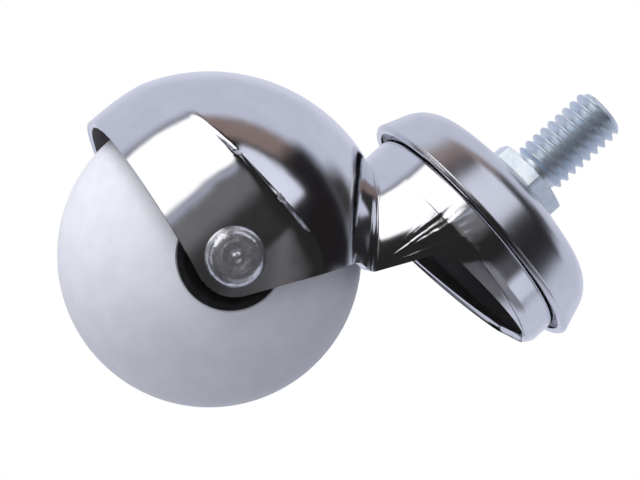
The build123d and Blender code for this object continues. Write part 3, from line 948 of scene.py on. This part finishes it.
# %% Steels
ball_steel, place = new_material("polished bearing steel", Metallic=1.0)
clouds = place.noise(1.5, 3.0)
vary(ball_steel, Base_Color=clouds.between(0.3, 0.7).blend((0.62, 0.62, 0.63), (0.70, 0.70, 0.71)),
     Roughness=0.07 + clouds * 0.08, Height=clouds * 0.004)

plain_steel, place = new_material("plain bright steel", Metallic=1.0)
clouds, streaks = place.noise(0.8, 4.0), (place * (1.0, 9.0, 1.0)).noise(0.9, 3.0)
vary(plain_steel, Base_Color=clouds.between(0.3, 0.7).blend((0.44, 0.44, 0.46), (0.56, 0.56, 0.57)),
     Roughness=0.26 + streaks * 0.16, Height=streaks * 0.008)

# %% [markdown]
# ## The finishes go on
# Each piece and each CAD node that stays gets one material in place of its plain one.

# %% Finishes
FINISHES = [(ball, white_plastic), (hub, black_plastic), (rivet, spun_chrome), (horn, horn_chrome),
            (cap, cap_chrome), (stud, zinc)]
FINISHES += [(nodes["axle_sleeve"], plain_steel), (nodes["lower_race"], plain_steel)]
FINISHES += [(node, ball_steel) for name, node in nodes.items() if "_ball_" in name]
for piece, finish in FINISHES:
    piece.data.materials.clear()
    piece.data.materials.append(finish)
print("finished pieces:", len(FINISHES))

# %% [markdown]
# ## Cards round the castor
# Chrome shows what stands around it, so the studio matters as much as the metal. Photographers hang
# white, grey and black cards round such a piece. Here a card is a rectangle on the sky: the direction,
# divided by its share along the card's middle, gives flat coordinates across it.

# %% Directions and cards
world = bpy.data.worlds.new("studio")
world.use_nodes = True
sky = world.node_tree
sky.nodes.clear()
look = add_node(sky, "ShaderNodeTexCoord", output="Generated")


def toward(away, bearing):
    """World direction: away is the angle from the camera's side in degrees, bearing goes round the
    picture from its right, anticlockwise."""
    spread, turn = radians(away), radians(bearing)
    flat = PICTURE_RIGHT * cos(turn) + PICTURE_UP * sin(turn)
    return (flat * sin(spread) + PICTURE_BACK * cos(spread)).normalized()


def card(room, away, bearing, width, height, colour, soft):
    """The room's colour with one card laid over it. width runs round the picture, height runs away from
    the camera's side, both are tangents of half angles, and soft is half the width of the card's edge."""
    middle = toward(away, bearing)
    side = middle.cross(PICTURE_BACK).normalized()
    rise = side.cross(middle).normalized()
    depth = look.dot(middle)
    across, upward = abs(look.dot(side) / depth), abs(look.dot(rise) / depth)
    within_width = 1 - across.between(width - soft, width + soft)
    within_height = 1 - upward.between(height - soft, height + soft)
    return (within_width * within_height * depth.between(0.0, 0.01)).blend(room, colour)


print("straight up in the picture is", [round(x, 2) for x in toward(90, 90)])

# %% [markdown]
# ## The room that the metal sees
# The room is pale lavender behind the castor and nearly black where the camera stands. The cards lie over
# that. Each number was chosen so that a patch or a band lies on the chrome about where the photograph
# shows it.

# %% The room
BEHIND, FAR_BEHIND, CAMERA_SIDE = (0.68, 0.70, 0.82), (0.56, 0.59, 0.70), (0.022, 0.021, 0.021)
CARDS = [
    (66, -62, 0.45, 0.60, (0.22, 0.22, 0.25), 0.20),     # dim wall, lower right
    (76, -32, 0.22, 0.22, (0.62, 0.66, 0.76), 0.08),     # pale card in front of it
    (88, 75, 0.62, 0.15, (0.24, 0.18, 0.165), 0.07),     # brown shelf, above
    (84, 22, 0.62, 0.33, (0.014, 0.012, 0.013), 0.13),   # black wall, right
    (106, 24, 0.19, 0.15, (0.05, 0.046, 0.046), 0.11),   # its dim far end
    (62, 53, 0.37, 0.25, (0.76, 0.79, 0.90), 0.04),      # window, upper right
    (15, 62, 0.22, 0.22, (0.16, 0.155, 0.16), 0.14),     # grey glow beside the camera
    (23, 88, 0.16, 0.04, (0.44, 0.47, 0.56), 0.06),      # pale strip above it
    (54, 120, 0.28, 0.53, (1.3, 1.3, 1.3), 0.05),        # soft box, upper left
    (50, 172, 0.40, 0.12, (0.50, 0.52, 0.60), 0.06),     # pale card, left
    (62, -120, 0.25, 0.30, (0.010, 0.010, 0.010), 0.06),  # black card, lower left
]
back_share = look.dot(tuple(PICTURE_BACK))
room = back_share.between(-0.98, -0.75).blend(BEHIND, FAR_BEHIND)
room = back_share.between(-0.05, 0.20).blend(room, CAMERA_SIDE)
for settings in CARDS:
    room = card(room, *settings)
print("cards in the room:", len(CARDS))

# %% [markdown]
# ## Three worlds in one
# Mirror rays see the room with its cards. The camera, and rays through clear things, see plain white.
# All other rays see a soft grey that is brighter on the picture's left, which shades the ball as in the
# photograph.

# %% World
SHADE_DARK, SHADE_BRIGHT, WHITE = (0.22, 0.23, 0.27), (0.80, 0.81, 0.86), (1.0, 1.0, 1.0)
rays = add_node(sky, "ShaderNodeLightPath").socket.node.outputs
is_glossy, is_camera, is_clear = (Wire(sky, rays[name]) for name in
                                  ("Is Glossy Ray", "Is Camera Ray", "Is Transmission Ray"))
shade = look.dot(toward(88, 158)).between(-0.8, 0.8).blend(SHADE_DARK, SHADE_BRIGHT)
seen = is_glossy.blend(shade, room)
seen = (is_camera + is_clear).between(0.0, 0.5).blend(seen, WHITE)
background = add_node(sky, "ShaderNodeBackground", {}, {"Color": seen, "Strength": 1.0})
add_node(sky, "ShaderNodeOutputWorld", {}, {"Surface": background})
bpy.context.scene.world = world
print("nodes of the world:", len(sky.nodes))

# %% [markdown]
# ## The floor
# The castor stands on a plain pale floor. The photograph was taken from below the axle with the castor
# tipped over, so the camera looks from under the floor: its underside is clear, and its top keeps the
# shadow. Mirror rays and the studio's soft light pass it, so that the ball's lower side stays as bright
# as in the photograph.

# %% Floor
FLOOR_REACH = 2.5
corners = [(x * FLOOR_REACH, y * FLOOR_REACH, FLOOR_Z * MM) for x, y in ((-1, -1), (1, -1), (1, 1), (-1, 1))]
floor_mesh = bpy.data.meshes.new("pale_floor")
floor_mesh.from_pydata(corners, [], [(0, 1, 2, 3)])
floor = bpy.data.objects.new("pale_floor", floor_mesh)
bpy.context.scene.collection.objects.link(floor)
floor_finish, place = new_material("pale floor", Base_Color=(0.86, 0.86, 0.87), Roughness=0.7)
tree = floor_finish.node_tree
surface = Wire(tree, tree.nodes["Principled BSDF"].outputs[0])
clear = add_node(tree, "ShaderNodeBsdfTransparent")
under = add_node(tree, "ShaderNodeNewGeometry", output="Backfacing")
mirrored = add_node(tree, "ShaderNodeLightPath", output="Is Glossy Ray")
let_through = (under + mirrored).between(0.0, 0.5)
mixed = add_node(tree, "ShaderNodeMixShader", {}, {0: let_through, 1: surface, 2: clear})
tree.links.new(mixed.socket, tree.nodes["Material Output"].inputs["Surface"])
floor_mesh.materials.append(floor_finish)
floor.visible_diffuse = False
print("floor reaches", 2 * FLOOR_REACH, "m across")

# %% [markdown]
# ## The lamps
# Two soft lamps shape the ball: a key lamp above on the left, and a weak fill on the right. They aren't
# mirrored in the metal, where the cards are seen instead.

# %% Lamps
LAMP_TARGET = Vector((-0.012, 0.0, -0.03))


def soft_lamp(name, from_camera, bearing, distance, size, power):
    """Square area lamp that looks at the castor's middle from a direction of the picture."""
    data = bpy.data.lights.new(name, "AREA")
    data.size, data.energy = size, power
    lamp = bpy.data.objects.new(name, data)
    away = toward(from_camera, bearing)
    turn = away.to_track_quat("Z", "Y").to_matrix().to_4x4()
    lamp.matrix_world = Matrix.Translation(LAMP_TARGET + away * distance) @ turn
    lamp.visible_glossy = False
    bpy.context.scene.collection.objects.link(lamp)
    return lamp


lamps = [soft_lamp("key lamp", 62, 118, 0.9, 0.6, 5.6), soft_lamp("fill lamp", 45, 10, 1.0, 0.8, 0.8)]
print("stage:", floor.name, [lamp.name for lamp in lamps])

# %% [markdown]
# The dressed model has to stay inside the CAD model's box.
